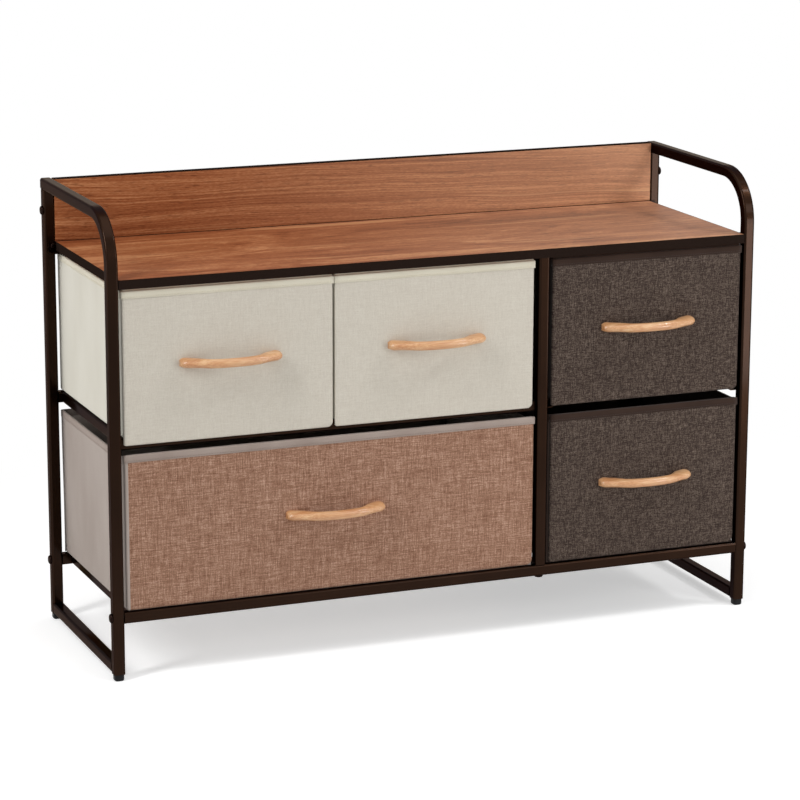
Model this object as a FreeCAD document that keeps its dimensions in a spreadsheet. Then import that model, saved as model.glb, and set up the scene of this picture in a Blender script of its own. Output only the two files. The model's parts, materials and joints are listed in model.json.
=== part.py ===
"""Fabric drawer dresser: a square-tube frame with wooden top and back boards and five fabric drawers."""

import math
import os
import re

import FreeCAD
import Part

# Driving sizes in millimetres, each written once. Axes: +X right, +Y back, +Z up, origin on the floor.
SIZES = {
    # frame
    "frame_width": 910.0,
    "frame_depth": 300.0,
    "frame_height": 608.0,
    "tube_width": 15.0,
    "tube_wall": 1.2,
    "tube_rounding": 3.0,
    "bore_rounding": 1.8,
    "bend_outer_radius": 70.0,
    "lower_rail_bottom": 76.5,
    "mid_rail_bottom": 303.5,
    "mid_rail_setback": 8.0,
    "divider_centre": 144.0,
    "lower_runner_inset": 13.0,
    "mid_runner_inset": 4.5,
    "bay_runner_width": 12.0,
    "bay_runner_setback": 9.0,
    # boards
    "board_thickness": 12.0,
    "back_board_height": 84.0,
    "back_board_inset": 3.0,
    "edge_band": 0.8,
    # feet
    "foot_height": 9.0,
    "foot_inset": 1.0,
    "foot_rounding": 4.0,
    "foot_edge_rounding": 2.5,
    "foot_plug_length": 12.0,
    # bolts, brackets and screws
    "bolt_radius": 3.0,
    "bolt_head_radius": 6.0,
    "bolt_head_height": 3.0,
    "bolt_head_rounding": 2.0,
    "bolt_bite": 20.0,
    "nut_block_length": 12.0,
    "hole_clearance": 0.1,
    "bracket_thickness": 2.0,
    "bracket_reach": 16.0,
    "bracket_side_lap": 8.0,
    "bracket_gap": 0.3,
    "bracket_screw_rise": 7.0,
    "screw_radius": 1.75,
    "screw_head_radius": 3.5,
    "screw_head_height": 2.4,
    "screw_head_rounding": 1.4,
    "screw_bite": 8.0,
    # drawers
    "side_gap": 6.0,
    "narrow_side_gap": 3.0,
    "pair_gap": 3.0,
    "slide_gap": 0.3,
    "face_recess": 4.0,
    "face_thickness": 3.0,
    "face_corner": 7.5,
    "face_lift": 1.0,
    "face_drop": 9.0,
    "lower_rim_gap": 7.0,
    "upper_rim_gap": 4.0,
    "rim_step": 2.0,
    "wide_rim_step": 6.0,
    "rim_height": 10.0,
    "rim_thickness": 0.8,
    "bin_wall": 3.0,
    "bin_corner": 2.5,
    "bin_rear_gap": 7.0,
    "base_board_thickness": 2.5,
    "base_board_gap": 1.0,
    # handles
    "handle_length": 135.0,
    "handle_projection": 30.0,
    "handle_end_projection": 12.0,
    "handle_depth": 12.0,
    "handle_pad_depth": 24.5,
    "handle_height": 12.6,
    "handle_waist": 0.4,
    "handle_rise": 3.0,
    "handle_screw_spacing": 112.0,
    "handle_screw_bite": 6.0,
}

# Places and spans that follow from the sizes
DERIVED = {
    "half_width": "frame_width / 2",
    "inner_left": "tube_width - half_width",
    "inner_right": "half_width - tube_width",
    "inner_width": "frame_width - 2 * tube_width",
    "front_y": "(handle_projection - face_recess) / 2 - frame_depth / 2",
    "rear_y": "front_y + frame_depth",
    "rear_front": "rear_y - tube_width",
    "leg_back": "front_y + tube_width",
    "leg_middle": "front_y + tube_width / 2",
    "post_middle": "rear_y - tube_width / 2",
    "rail_span": "rear_front - leg_back",
    "tube_bore": "tube_width - 2 * tube_wall",
    "bend_inner_radius": "bend_outer_radius - tube_width",
    "bend_y": "front_y + bend_outer_radius",
    "bend_z": "frame_height - bend_outer_radius",
    "arm_bottom": "frame_height - tube_width",
    "lower_rail_top": "lower_rail_bottom + tube_width",
    "lower_rail_middle": "lower_rail_bottom + tube_width / 2",
    "mid_rail_top": "mid_rail_bottom + tube_width",
    "mid_rail_front": "front_y + mid_rail_setback",
    "mid_rail_back": "mid_rail_front + tube_width",
    "divider_left": "divider_centre - tube_width / 2",
    "divider_right": "divider_centre + tube_width / 2",
    "wide_bay": "divider_left - inner_left",
    "post_height": "board_bottom - lower_rail_top",
    "board_top": "frame_height - back_board_height",
    "board_bottom": "board_top - board_thickness",
    "board_back": "rear_y - back_board_inset",
    "back_board_front": "board_back - board_thickness",
    "back_board_middle": "board_back - board_thickness / 2",
    "back_bolt_height": "(board_top + frame_height) / 2",
    "bolt_hole": "bolt_radius + hole_clearance",
    "bolt_length": "tube_width + nut_block_length",
    "back_bolt_length": "tube_width + bolt_bite",
    "screw_hole": "screw_radius + hole_clearance",
    "bracket_bottom": "board_bottom - bracket_thickness",
    "bracket_screw_height": "board_bottom + bracket_screw_rise",
    "post_screw_length": "bracket_thickness + screw_bite",
    "foot_width": "tube_width - 2 * foot_inset",
    "face_front": "front_y + face_recess",
    "face_back": "face_front + face_thickness",
    "bin_back": "rear_y - bin_rear_gap",
    "bin_depth": "bin_back - face_back",
    "wide_left": "inner_left + side_gap",
    "wide_span": "wide_bay - 2 * side_gap",
    "pair_width": "(wide_span - pair_gap) / 2",
    "pair_middle": "wide_left + wide_span / 2",
    "narrow_left": "divider_right + side_gap",
    "narrow_width": "inner_right - narrow_side_gap - narrow_left",
    "lower_face_bottom": "lower_rail_top + face_lift",
    "lower_face_top": "mid_rail_bottom - lower_rim_gap",
    "upper_face_bottom": "mid_rail_top - face_drop",
    "upper_face_top": "board_bottom - upper_rim_gap",
    "lower_bin_bottom": "lower_rail_top + slide_gap",
    "upper_bin_bottom": "mid_rail_top + slide_gap",
    "base_board_inset": "bin_wall + base_board_gap",
    "bow_drop": "handle_projection - handle_end_projection",
    "pad_swell": "handle_pad_depth - handle_depth",
    "handle_screw_start": "face_back + bin_wall",
    "handle_screw_length": "bin_wall + face_thickness + handle_screw_bite",
}

# Lower and upper edge of the faces, and underside of the bins, in each row
UPPER_ROW = ("upper_face_bottom", "upper_face_top", "upper_bin_bottom")
LOWER_ROW = ("lower_face_bottom", "lower_face_top", "lower_bin_bottom")

# Each drawer: left side, width, its row, and how far the rim of its other walls lies below the front's
DRAWERS = {
    "cream_left": ("wide_left", "pair_width", *UPPER_ROW, "rim_step"),
    "cream_right": ("(wide_left + pair_width + pair_gap)", "pair_width", *UPPER_ROW, "rim_step"),
    "tan_wide": ("wide_left", "wide_span", *LOWER_ROW, "wide_rim_step"),
    "espresso_upper": ("narrow_left", "narrow_width", *UPPER_ROW, "rim_step"),
    "espresso_lower": ("narrow_left", "narrow_width", *LOWER_ROW, "rim_step"),
}

doc = FreeCAD.newDocument("dresser")
sheet = doc.addObject("Spreadsheet::Sheet", "sizes")
for row, (size_name, size_value) in enumerate(SIZES.items(), start=1):
    sheet.set(f"A{row}", size_name)
    sheet.set(f"B{row}", str(size_value))
    sheet.setAlias(f"B{row}", size_name)
doc.recompute()

nodes = []


# Tools for bound pieces


def expand(text):
    """Write an expression out in cells of the size sheet."""

    def swap(match):
        word = match.group(0)
        if word in DERIVED:
            return "(" + expand(DERIVED[word]) + ")"
        if word in SIZES:
            return "sizes." + word
        return word

    return re.sub(r"[A-Za-z_][A-Za-z_0-9]*", swap, text)


def bind(piece, field, text):
    """Tie one property of a piece to the size sheet."""
    piece.setExpression(field, expand(text))


def place(piece, x, y, z):
    """Tie the position of a piece to the size sheet."""
    bind(piece, "Placement.Base.x", x)
    bind(piece, "Placement.Base.y", y)
    bind(piece, "Placement.Base.z", z)


def box(name, x, y, z, length, width, height):
    """A block from its low corner and its size along X, Y and Z."""
    block = doc.addObject("Part::Box", name)
    bind(block, "Length", length)
    bind(block, "Width", width)
    bind(block, "Height", height)
    place(block, x, y, z)
    return block


# Turns that lay a rod, which starts out along +Z, along another direction
ROD_TURNS = {
    "+x": FreeCAD.Rotation(FreeCAD.Vector(0, 1, 0), 90),
    "-x": FreeCAD.Rotation(FreeCAD.Vector(0, 1, 0), -90),
    "+y": FreeCAD.Rotation(FreeCAD.Vector(1, 0, 0), -90),
    "-y": FreeCAD.Rotation(FreeCAD.Vector(1, 0, 0), 90),
    "+z": FreeCAD.Rotation(),
    "-z": FreeCAD.Rotation(FreeCAD.Vector(1, 0, 0), 180),
}
OPPOSITE = {"+x": "-x", "-x": "+x", "+y": "-y", "-y": "+y", "+z": "-z", "-z": "+z"}


def rod(name, way, x, y, z, radius, length):
    """A round rod that starts at a point and runs one way."""
    bar = doc.addObject("Part::Cylinder", name)
    bar.Placement.Rotation = ROD_TURNS[way]
    bind(bar, "Radius", radius)
    bind(bar, "Height", length)
    place(bar, x, y, z)
    return bar


def cut(name, base, *tools):
    """A piece with other pieces taken out of it, one after another."""
    for number, tool in enumerate(tools):
        result = doc.addObject("Part::Cut", f"{name}_cut_{number}")
        result.Base = base
        result.Tool = tool
        base = result
    return base


def fuse(name, *pieces):
    """Touching pieces joined into one solid."""
    result = doc.addObject("Part::MultiFuse", name)
    result.Shapes = list(pieces)
    result.Refine = True
    return result


def common(name, first, second):
    """What two pieces share."""
    result = doc.addObject("Part::Common", name)
    result.Base = first
    result.Tool = second
    return result


def rounded(name, base, size_name, picks):
    """Round those edges of a piece that a test picks out."""
    doc.recompute()
    radius = SIZES[size_name]
    result = doc.addObject("Part::Fillet", name)
    result.Base = base
    edges = enumerate(base.Shape.Edges, start=1)
    result.Edges = [(number, radius, radius) for number, edge in edges if picks(edge)]
    return result


def runs_along(axis):
    """A test for straight edges that run along an axis."""
    steps = {"x": (1, 0, 0), "y": (0, 1, 0), "z": (0, 0, 1)}
    direction = FreeCAD.Vector(*steps[axis])

    def picks(edge):
        straight = isinstance(edge.Curve, Part.Line)
        return straight and abs(edge.Curve.Direction.dot(direction)) > 0.999

    return picks


def node(name, piece):
    """Take a piece as a finished sub-part under its own name."""
    piece.Label = name
    nodes.append(piece)


def group_node(name, pieces):
    """Take several alike, separate solids as one finished sub-part."""
    group = doc.addObject("Part::Compound", name)
    group.Links = pieces
    node(name, group)


def tube(name, axis, x, y, z, length, *holes, width="tube_width"):
    """A straight square tube from its low corner, open at its ends, with holes cut in it."""
    outside = dict.fromkeys("xyz", width)
    inside = dict.fromkeys("xyz", f"({width} - 2 * tube_wall)")
    shift = dict.fromkeys("xyz", "tube_wall")
    outside[axis] = length
    inside[axis] = length
    shift[axis] = "0"
    block = box(name + "_block", x, y, z, *outside.values())
    soft = rounded(name + "_soft", block, "tube_rounding", runs_along(axis))
    bore_at = [f"{start} + {shift[way]}" for start, way in zip((x, y, z), "xyz")]
    bore_block = box(name + "_bore_block", *bore_at, *inside.values())
    bore = rounded(name + "_bore", bore_block, "bore_rounding", runs_along(axis))
    node(name, cut(name, soft, bore, *holes))


def crowned(name, head, size_name):
    """Round the outer rim of a head, which is the circle away from its starting point."""
    doc.recompute()
    start = head.Placement.Base

    def picks(edge):
        is_circle = isinstance(edge.Curve, Part.Circle)
        return is_circle and edge.Curve.Center.distanceToPoint(start) > SIZES[size_name]

    return rounded(name, head, size_name, picks)


def bolt(name, way, x, y, z, length):
    """A round-headed bolt: the point lies under its head and its shank runs one way."""
    head = rod(name + "_head", OPPOSITE[way], x, y, z, "bolt_head_radius", "bolt_head_height")
    shank = rod(name + "_shank", way, x, y, z, "bolt_radius", length)
    return fuse(name, crowned(name + "_crown", head, "bolt_head_rounding"), shank)


def screw(name, way, x, y, z, length):
    """A small pan-head screw, laid out as a bolt is."""
    head = rod(name + "_head", OPPOSITE[way], x, y, z, "screw_head_radius", "screw_head_height")
    shank = rod(name + "_shank", way, x, y, z, "screw_radius", length)
    return fuse(name, crowned(name + "_crown", head, "screw_head_rounding"), shank)


# Side frames: a bent tube for front leg and arm, a rear post, a floor rail and two feet on each side


def bent_bar(name, x, width, wall, size_name):
    """Leg, bend and arm as one solid bar with rounded edges, thinner than the tube by a wall all round."""
    depth = f"(tube_width - 2 * {wall})"
    leg = box(name + "_leg", x, f"front_y + {wall}", "foot_height", width, depth, "bend_z - foot_height")
    arm = box(name + "_arm", x, "bend_y", f"arm_bottom + {wall}", width, "rear_y - bend_y", depth)
    outer = rod(name + "_outer", "+x", x, "bend_y", "bend_z", f"bend_outer_radius - {wall}", width)
    inner = rod(name + "_inner", "+x", x, "bend_y", "bend_z", f"bend_inner_radius + {wall}", width)
    ring = cut(name + "_ring", outer, inner)
    corner = box(name + "_corner", x, "front_y", "bend_z", width, "bend_outer_radius", "bend_outer_radius")
    bend = common(name + "_bend", ring, corner)
    bar = fuse(name, leg, bend, arm)
    doc.recompute()
    sides = (bar.Shape.BoundBox.XMin, bar.Shape.BoundBox.XMax)

    def picks(edge):
        span = edge.BoundBox
        across = span.XMax - span.XMin
        off_side = min(abs(span.Center.x - place_x) for place_x in sides)
        return across < 0.01 and off_side < 0.01 and edge.Length > SIZES["tube_width"] + 1

    return rounded(name + "_soft", bar, size_name, picks)


def bent_leg(side, x, way, outer_x, screw_x):
    """One bent leg with the holes for its lower bolt and its bracket screw."""
    name = side + "_bent_leg"
    soft = bent_bar(name + "_outside", x, "tube_width", "0", "tube_rounding")
    bore = bent_bar(name + "_inside", f"{x} + tube_wall", "tube_bore", "tube_wall", "bore_rounding")
    bolt_at = (outer_x, "leg_middle", "lower_rail_middle")
    bolt_way = rod(name + "_bolt_way", way, *bolt_at, "bolt_hole", "tube_width")
    screw_at = (screw_x, "leg_back", "bracket_screw_height")
    screw_way = rod(name + "_screw_way", "-y", *screw_at, "screw_hole", "tube_width / 2")
    node(name, cut(name, soft, bore, bolt_way, screw_way))


def rear_post(side, x, way, outer_x, screw_x):
    """One rear post, under the end of the arm, with the holes for its bolts and its bracket screw."""
    name = side + "_rear_post"
    low_at = (outer_x, "post_middle", "lower_rail_middle")
    low = rod(name + "_low", way, *low_at, "bolt_hole", "tube_width")
    high_at = (outer_x, "back_board_middle", "back_bolt_height")
    high = rod(name + "_high", way, *high_at, "bolt_hole", "tube_width")
    screw_at = (screw_x, "rear_front", "bracket_screw_height")
    front = rod(name + "_front", "+y", *screw_at, "screw_hole", "tube_width / 2")
    tube(name, "z", x, "rear_front", "foot_height", "arm_bottom - foot_height", low, high, front)


def foot(name, x, y):
    """A plastic foot: a rounded block under the tube with a plug up its bore."""
    block = box(name + "_block", f"{x} + foot_inset", f"{y} + foot_inset", "0",
                "foot_width", "foot_width", "foot_height")
    soft = rounded(name + "_soft", block, "foot_rounding", runs_along("z"))
    rim = rounded(name + "_rim", soft, "foot_edge_rounding", lambda edge: edge.BoundBox.ZMax < 0.01)
    plug_block = box(name + "_plug_block", f"{x} + tube_wall", f"{y} + tube_wall", "foot_height",
                     "tube_bore", "tube_bore", "foot_plug_length")
    plug = rounded(name + "_plug", plug_block, "bore_rounding", runs_along("z"))
    return fuse(name, rim, plug)


SIDES = {
    "left": ("-half_width", "+x", "-half_width", "inner_left - bracket_side_lap / 2"),
    "right": ("inner_right", "-x", "half_width", "inner_right + bracket_side_lap / 2"),
}
feet = []
for side, (side_x, inward, outer_x, screw_x) in SIDES.items():
    bent_leg(side, side_x, inward, outer_x, screw_x)
    rear_post(side, side_x, inward, outer_x, screw_x)
    tube(side + "_floor_rail", "y", side_x, "leg_back", "foot_height", "rail_span")
    feet.append(foot(side + "_front_foot", side_x, "front_y"))
    feet.append(foot(side + "_rear_foot", side_x, "rear_front"))
group_node("leg_feet", feet)


# Lower level: two long rails, bolted through the legs, and three runners between them


def lower_rail(name, y, middle):
    """A long lower rail with the hole for the bolt of the centre post."""
    bolt_at = ("divider_centre", middle, "lower_rail_bottom")
    hole = rod(name + "_hole", "+z", *bolt_at, "bolt_hole", "tube_width")
    tube(name, "x", "inner_left", y, "lower_rail_bottom", "inner_width", hole)


lower_rail("front_lower_rail", "front_y", "leg_middle")
lower_rail("rear_lower_rail", "rear_front", "post_middle")
LOWER_RUNNERS = {
    "left_lower_runner": "inner_left + lower_runner_inset",
    "centre_lower_runner": "divider_left",
    "right_lower_runner": "inner_right - lower_runner_inset - tube_width",
}
for name, x in LOWER_RUNNERS.items():
    tube(name, "y", x, "leg_back", "lower_rail_bottom", "rail_span")

# Centre posts between the lower rails and the top board
tube("centre_front_post", "z", "divider_left", "front_y", "lower_rail_top", "post_height")
tube("centre_rear_post", "z", "divider_left", "rear_front", "lower_rail_top", "post_height")

# Middle level of the wide bay: two rails and three runners, and two runners alone in the narrow bay
tube("front_mid_rail", "x", "inner_left", "mid_rail_front", "mid_rail_bottom", "wide_bay")
tube("rear_mid_rail", "x", "inner_left", "rear_front", "mid_rail_bottom", "wide_bay")
MID_RUNNERS = {
    "left_mid_runner": "inner_left + mid_runner_inset",
    "middle_mid_runner": "pair_middle - tube_width / 2",
    "right_mid_runner": "divider_left - mid_runner_inset - tube_width",
}
for name, x in MID_RUNNERS.items():
    tube(name, "y", x, "mid_rail_back", "mid_rail_bottom", "rear_front - mid_rail_back")
BAY_RUNNERS = {"left_bay_runner": "divider_right", "right_bay_runner": "inner_right - bay_runner_width"}
for name, x in BAY_RUNNERS.items():
    tube(name, "y", x, "front_y + bay_runner_setback", "mid_rail_top - bay_runner_width",
         "frame_depth - bay_runner_setback", width="bay_runner_width")


# Bolts through the legs and posts, with nut blocks in the tubes they hold


def nut_block(name, axis, place_and_size, hole):
    """A block that fills the end of a tube along an axis, and takes a bolt."""
    block = box(name, *place_and_size)
    return cut(name, rounded(name + "_soft", block, "bore_rounding", runs_along(axis)), hole)


bolts = []
blocks = []
RAIL_ENDS = {"front": ("leg_middle", "front_y"), "rear": ("post_middle", "rear_front")}
for side, (side_x, inward, outer_x, screw_x) in SIDES.items():
    end_x = {"left": "inner_left", "right": "inner_right - nut_block_length"}[side]
    for end, (middle, start) in RAIL_ENDS.items():
        name = f"{side}_{end}_bolt"
        bolt_at = (outer_x, middle, "lower_rail_middle")
        bolts.append(bolt(name, inward, *bolt_at, "bolt_length"))
        hole = rod(name + "_thread", inward, *bolt_at, "bolt_hole", "bolt_length")
        block_at = (end_x, f"{start} + tube_wall", "lower_rail_bottom + tube_wall")
        block_size = ("nut_block_length", "tube_bore", "tube_bore")
        blocks.append(nut_block(name + "_block", "x", block_at + block_size, hole))
    back_at = (outer_x, "back_board_middle", "back_bolt_height")
    bolts.append(bolt(side + "_back_bolt", inward, *back_at, "back_bolt_length"))
for end, (middle, start) in RAIL_ENDS.items():
    name = f"centre_{end}_bolt"
    bolt_at = ("divider_centre", middle, "lower_rail_bottom")
    bolts.append(bolt(name, "+z", *bolt_at, "bolt_length"))
    hole = rod(name + "_thread", "+z", *bolt_at, "bolt_hole", "bolt_length")
    block_at = ("divider_left + tube_wall", f"{start} + tube_wall", "lower_rail_top")
    block_size = ("tube_bore", "tube_bore", "nut_block_length")
    blocks.append(nut_block(name + "_block", "z", block_at + block_size, hole))
group_node("frame_bolts", bolts)
group_node("nut_blocks", blocks)


# Top board on four corner brackets, and the back board that stands on it


def bracket(name, side, y, rise_y):
    """A corner bracket: a plate under the board and a tab against the leg or post beside it."""
    plate_x = {"left": "inner_left - bracket_side_lap", "right": "inner_right - bracket_reach"}[side]
    tab_x = {"left": "inner_left - bracket_side_lap", "right": "inner_right + bracket_gap"}[side]
    plate = box(name + "_plate", plate_x, y, "bracket_bottom",
                "bracket_side_lap + bracket_reach", "bracket_reach", "bracket_thickness")
    tab = box(name + "_tab", tab_x, rise_y, "board_bottom",
              "bracket_side_lap - bracket_gap", "bracket_thickness", "board_thickness")
    return fuse(name, plate, tab)


brackets = []
bracket_screws = []
board_holes = []
BRACKET_ROWS = {
    "front": ("leg_back", "leg_back", "-y", "leg_back + bracket_thickness", "leg_back + bracket_reach / 2"),
    "rear": ("rear_front - bracket_reach", "rear_front - bracket_thickness", "+y",
             "rear_front - bracket_thickness", "rear_front - bracket_reach / 2"),
}
for side, (side_x, inward, outer_x, screw_x) in SIDES.items():
    board_x = {"left": "inner_left + bracket_reach / 2", "right": "inner_right - bracket_reach / 2"}[side]
    for end, (plate_y, tab_y, way, head_y, board_y) in BRACKET_ROWS.items():
        name = f"{side}_{end}_bracket"
        shape = bracket(name, side, plate_y, tab_y)
        tab_at = (screw_x, head_y, "bracket_screw_height")
        board_at = (board_x, board_y, "bracket_bottom")
        tab_hole = rod(name + "_tab_hole", way, *tab_at, "screw_hole", "bracket_thickness")
        board_hole = rod(name + "_board_hole", "+z", *board_at, "screw_hole", "post_screw_length")
        brackets.append(cut(name + "_drilled", shape, tab_hole, board_hole))
        bracket_screws.append(screw(name + "_tab_screw", way, *tab_at, "post_screw_length"))
        bracket_screws.append(screw(name + "_board_screw", "+z", *board_at, "post_screw_length"))
        board_holes.append(board_hole)
group_node("board_brackets", brackets)
group_node("bracket_screws", bracket_screws)

top_panel = box("top_panel", "inner_left + edge_band", "front_y + edge_band", "board_bottom",
                "inner_width - 2 * edge_band", "board_back - front_y - edge_band", "board_thickness")
node("top_board", cut("top_board", top_panel, *board_holes))
side_band = "board_back - front_y - edge_band"
front_band_size = ("inner_width", "edge_band", "board_thickness")
side_band_size = ("edge_band", side_band, "board_thickness")
group_node("top_board_edge_band", [
    box("front_band", "inner_left", "front_y", "board_bottom", *front_band_size),
    box("left_band", "inner_left", "front_y + edge_band", "board_bottom", *side_band_size),
    box("right_band", "inner_right - edge_band", "front_y + edge_band", "board_bottom", *side_band_size),
])
back_panel = box("back_panel", "inner_left", "back_board_front", "board_top",
                 "inner_width", "board_thickness", "back_board_height - edge_band")
back_hole_at = ("back_board_middle", "back_bolt_height", "bolt_hole", "bolt_bite")
back_holes = [
    rod("left_back_hole", "+x", "inner_left", *back_hole_at),
    rod("right_back_hole", "-x", "inner_right", *back_hole_at),
]
node("back_board", cut("back_board", back_panel, *back_holes))
node("back_board_edge_band", box("back_band", "inner_left", "back_board_front", "frame_height - edge_band",
                                 "inner_width", "board_thickness", "edge_band"))


# Drawers: each a fabric bin with a linen face, a rim binding, a base board and a wooden bow handle


# Upright oval sections along half a handle: the share of the half length, and how full the section is
HALF_HANDLE = (
    (0.2, 1), (0.4, 1), (0.5, 1), (0.6, 1), (0.7, 1), (0.8, 1), (0.92, 1), (0.98, 0.8), (1, 0.45),
)
HANDLE_STATIONS = [(-share, full) for share, full in reversed(HALF_HANDLE)] + [(0, 1), *HALF_HANDLE]

# Where the slim bow starts to deepen into a pad, and where the pad is full, in the same shares
PAD_START = 0.42
PAD_FULL = 0.76


def pad_share(share):
    """How far the section at a share of the half length has grown into a pad, from 0 to 1."""
    way = min(max((abs(share) - PAD_START) / (PAD_FULL - PAD_START), 0), 1)
    return way * way * (3 - 2 * way)


def bow_handle(name, middle, height):
    """A bow handle: slim where fingers go behind it, deep at the two pads that sit on the face."""
    ovals = []
    for number, (share, full) in enumerate(HANDLE_STATIONS):
        front = f"(handle_projection - bow_drop * {share ** 2}) * {(1 + full) / 2}"
        depth = f"(handle_depth + pad_swell * {pad_share(share)}) * {full}"
        oval = doc.addObject("Part::Ellipse", f"{name}_oval_{number}")
        back = FreeCAD.Vector(0, 1, 0)
        up = FreeCAD.Vector(0, 0, 1)
        along = FreeCAD.Vector(1, 0, 0)
        oval.Placement.Rotation = FreeCAD.Rotation(back, up, along, "ZXY")
        bind(oval, "MajorRadius", f"{depth} / 2")
        bind(oval, "MinorRadius", f"(handle_height / 2 - handle_waist * {1 - share ** 2}) * {full}")
        place(oval, f"{middle} + handle_length / 2 * {share}", f"face_front - {front} + {depth} / 2", height)
        ovals.append(oval)
    bow = doc.addObject("Part::Loft", name + "_bow")
    bow.Sections = ovals
    bow.Solid = True
    behind = box(name + "_behind", f"{middle} - handle_length", "face_front", f"{height} - handle_height",
                 "2 * handle_length", "handle_length", "2 * handle_height")
    return cut(name + "_seat", bow, behind)


def drawer(name, left, width, bottom, top, floor, step):
    """One drawer, closed."""
    middle = f"({left} + {width} / 2)"
    height = f"(({bottom} + {top}) / 2 + handle_rise)"
    side_top = f"({top} - {step})"
    screw_ways = []
    screws = []
    for number, shift in enumerate(("- handle_screw_spacing / 2", "+ handle_screw_spacing / 2")):
        at = (f"{middle} {shift}", "handle_screw_start", height)
        screw_ways.append(rod(f"{name}_screw_way_{number}", "-y", *at, "screw_hole", "handle_screw_length"))
        screws.append(screw(f"{name}_screw_{number}", "-y", *at, "handle_screw_length"))

    bin_block = box(name + "_bin_block", left, "face_back", floor,
                    width, "bin_depth", f"{side_top} - {floor}")
    bin_soft = rounded(name + "_bin_soft", bin_block, "bin_corner", runs_along("z"))
    hollow = box(name + "_bin_hollow", f"{left} + bin_wall", "face_back + bin_wall", f"{floor} + bin_wall",
                 f"{width} - 2 * bin_wall", "bin_depth - 2 * bin_wall", f"{side_top} - {floor}")
    fabric_bin = cut(name + "_bin", bin_soft, hollow, *screw_ways)
    node(name + "_bin", fabric_bin)

    face_block = box(name + "_face_block", left, "face_front", bottom,
                     width, "face_thickness", f"{top} - {bottom}")
    doc.recompute()
    low_edge = face_block.Shape.BoundBox.ZMin
    along = runs_along("y")
    face_soft = rounded(name + "_face_soft", face_block, "face_corner",
                        lambda edge: along(edge) and edge.BoundBox.ZMax < low_edge + 0.01)
    face = cut(name + "_face", face_soft, *screw_ways)
    node(name + "_front_face", face)

    rim_left = f"{left} - rim_thickness"
    rim_width = f"{width} + 2 * rim_thickness"
    rim_tall = "rim_height + rim_thickness"
    rim_front = box(name + "_rim_front", rim_left, "face_front - rim_thickness", f"{top} - rim_height",
                    rim_width, "face_thickness + 2 * rim_thickness", rim_tall)
    rim_ring = box(name + "_rim_ring", rim_left, "face_back", f"{side_top} - rim_height",
                   rim_width, "bin_depth + rim_thickness", rim_tall)
    mouth_inset = "(bin_wall + rim_thickness)"
    mouth = box(name + "_rim_mouth", f"{left} + {mouth_inset}", f"face_back + {mouth_inset}", floor,
                f"{width} - 2 * {mouth_inset}", f"bin_depth - 2 * {mouth_inset}",
                f"{top} - {floor} + rim_height")
    rim = fuse(name + "_rim", rim_front, rim_ring)
    node(name + "_rim_binding", cut(name + "_rim_binding", rim, mouth, face, fabric_bin))

    base_at = (f"{left} + base_board_inset", "face_back + base_board_inset", f"{floor} + bin_wall")
    base = box(name + "_base", *base_at, f"{width} - 2 * base_board_inset",
               "bin_depth - 2 * base_board_inset", "base_board_thickness")
    node(name + "_base_board", base)
    handle = bow_handle(name + "_handle", middle, height)
    node(name + "_handle", cut(name + "_handle_drilled", handle, *screw_ways))
    group_node(name + "_handle_screws", screws)


for name, measures in DRAWERS.items():
    drawer(name, *measures)

# Check every piece, then write one file for each sub-part
doc.recompute()
for piece in doc.Objects:
    if "Invalid" in piece.State or "Error" in piece.State:
        raise RuntimeError(f"{piece.Name} did not compute: {piece.State}")
for piece in nodes:
    if piece.Shape.isNull() or not piece.Shape.isValid():
        raise RuntimeError(f"{piece.Label} has no valid shape")
os.makedirs("parts", exist_ok=True)
for piece in nodes:
    piece.Shape.exportStep(f"parts/{piece.Label}.step")
    print(piece.Label, len(piece.Shape.Solids), round(piece.Shape.Volume, 1))
print(len(nodes), "sub-parts")
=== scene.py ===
"""Fabric drawer dresser: cloth drawers, surface materials, studio light and camera."""

import json
import math

import bmesh
import bpy
from mathutils import Matrix, Vector, noise


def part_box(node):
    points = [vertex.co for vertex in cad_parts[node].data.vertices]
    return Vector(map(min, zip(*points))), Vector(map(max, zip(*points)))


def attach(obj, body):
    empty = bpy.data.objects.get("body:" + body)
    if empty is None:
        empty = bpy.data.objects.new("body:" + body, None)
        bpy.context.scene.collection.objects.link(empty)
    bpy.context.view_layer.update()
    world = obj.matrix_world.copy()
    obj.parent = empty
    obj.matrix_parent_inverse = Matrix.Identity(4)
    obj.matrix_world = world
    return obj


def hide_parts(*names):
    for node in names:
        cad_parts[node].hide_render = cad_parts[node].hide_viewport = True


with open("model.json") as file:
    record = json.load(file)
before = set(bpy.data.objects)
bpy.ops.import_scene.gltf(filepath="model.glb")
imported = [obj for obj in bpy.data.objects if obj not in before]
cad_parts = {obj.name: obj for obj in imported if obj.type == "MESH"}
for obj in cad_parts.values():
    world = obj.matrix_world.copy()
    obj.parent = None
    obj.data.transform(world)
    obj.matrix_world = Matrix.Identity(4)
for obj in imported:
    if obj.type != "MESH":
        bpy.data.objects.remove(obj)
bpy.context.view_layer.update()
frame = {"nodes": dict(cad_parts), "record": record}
MM = 0.001

DRAWERS = {
    "cream_left": "cream",
    "cream_right": "cream",
    "tan_wide": "tan",
    "espresso_upper": "espresso",
    "espresso_lower": "espresso",
}


# Colours as they look in plain light


WHITE = (1.0, 1.0, 1.0, 1.0)
BLACK = (0.0, 0.0, 0.0, 1.0)


def colour(red, green, blue):
    """A colour given in screen steps from 0 to 255, as the shaders take it."""
    steps = [value / 255 for value in (red, green, blue)]
    linear = [s / 12.92 if s <= 0.04045 else ((s + 0.055) / 1.055) ** 2.4 for s in steps]
    return (*linear, 1.0)


def toned(shade, factor, lift=0.0):
    """A colour made darker or paler by a factor, with a small lift."""
    return [min(1.0, value * factor + lift) for value in shade[:3]] + [1.0]


# Node tools


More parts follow.
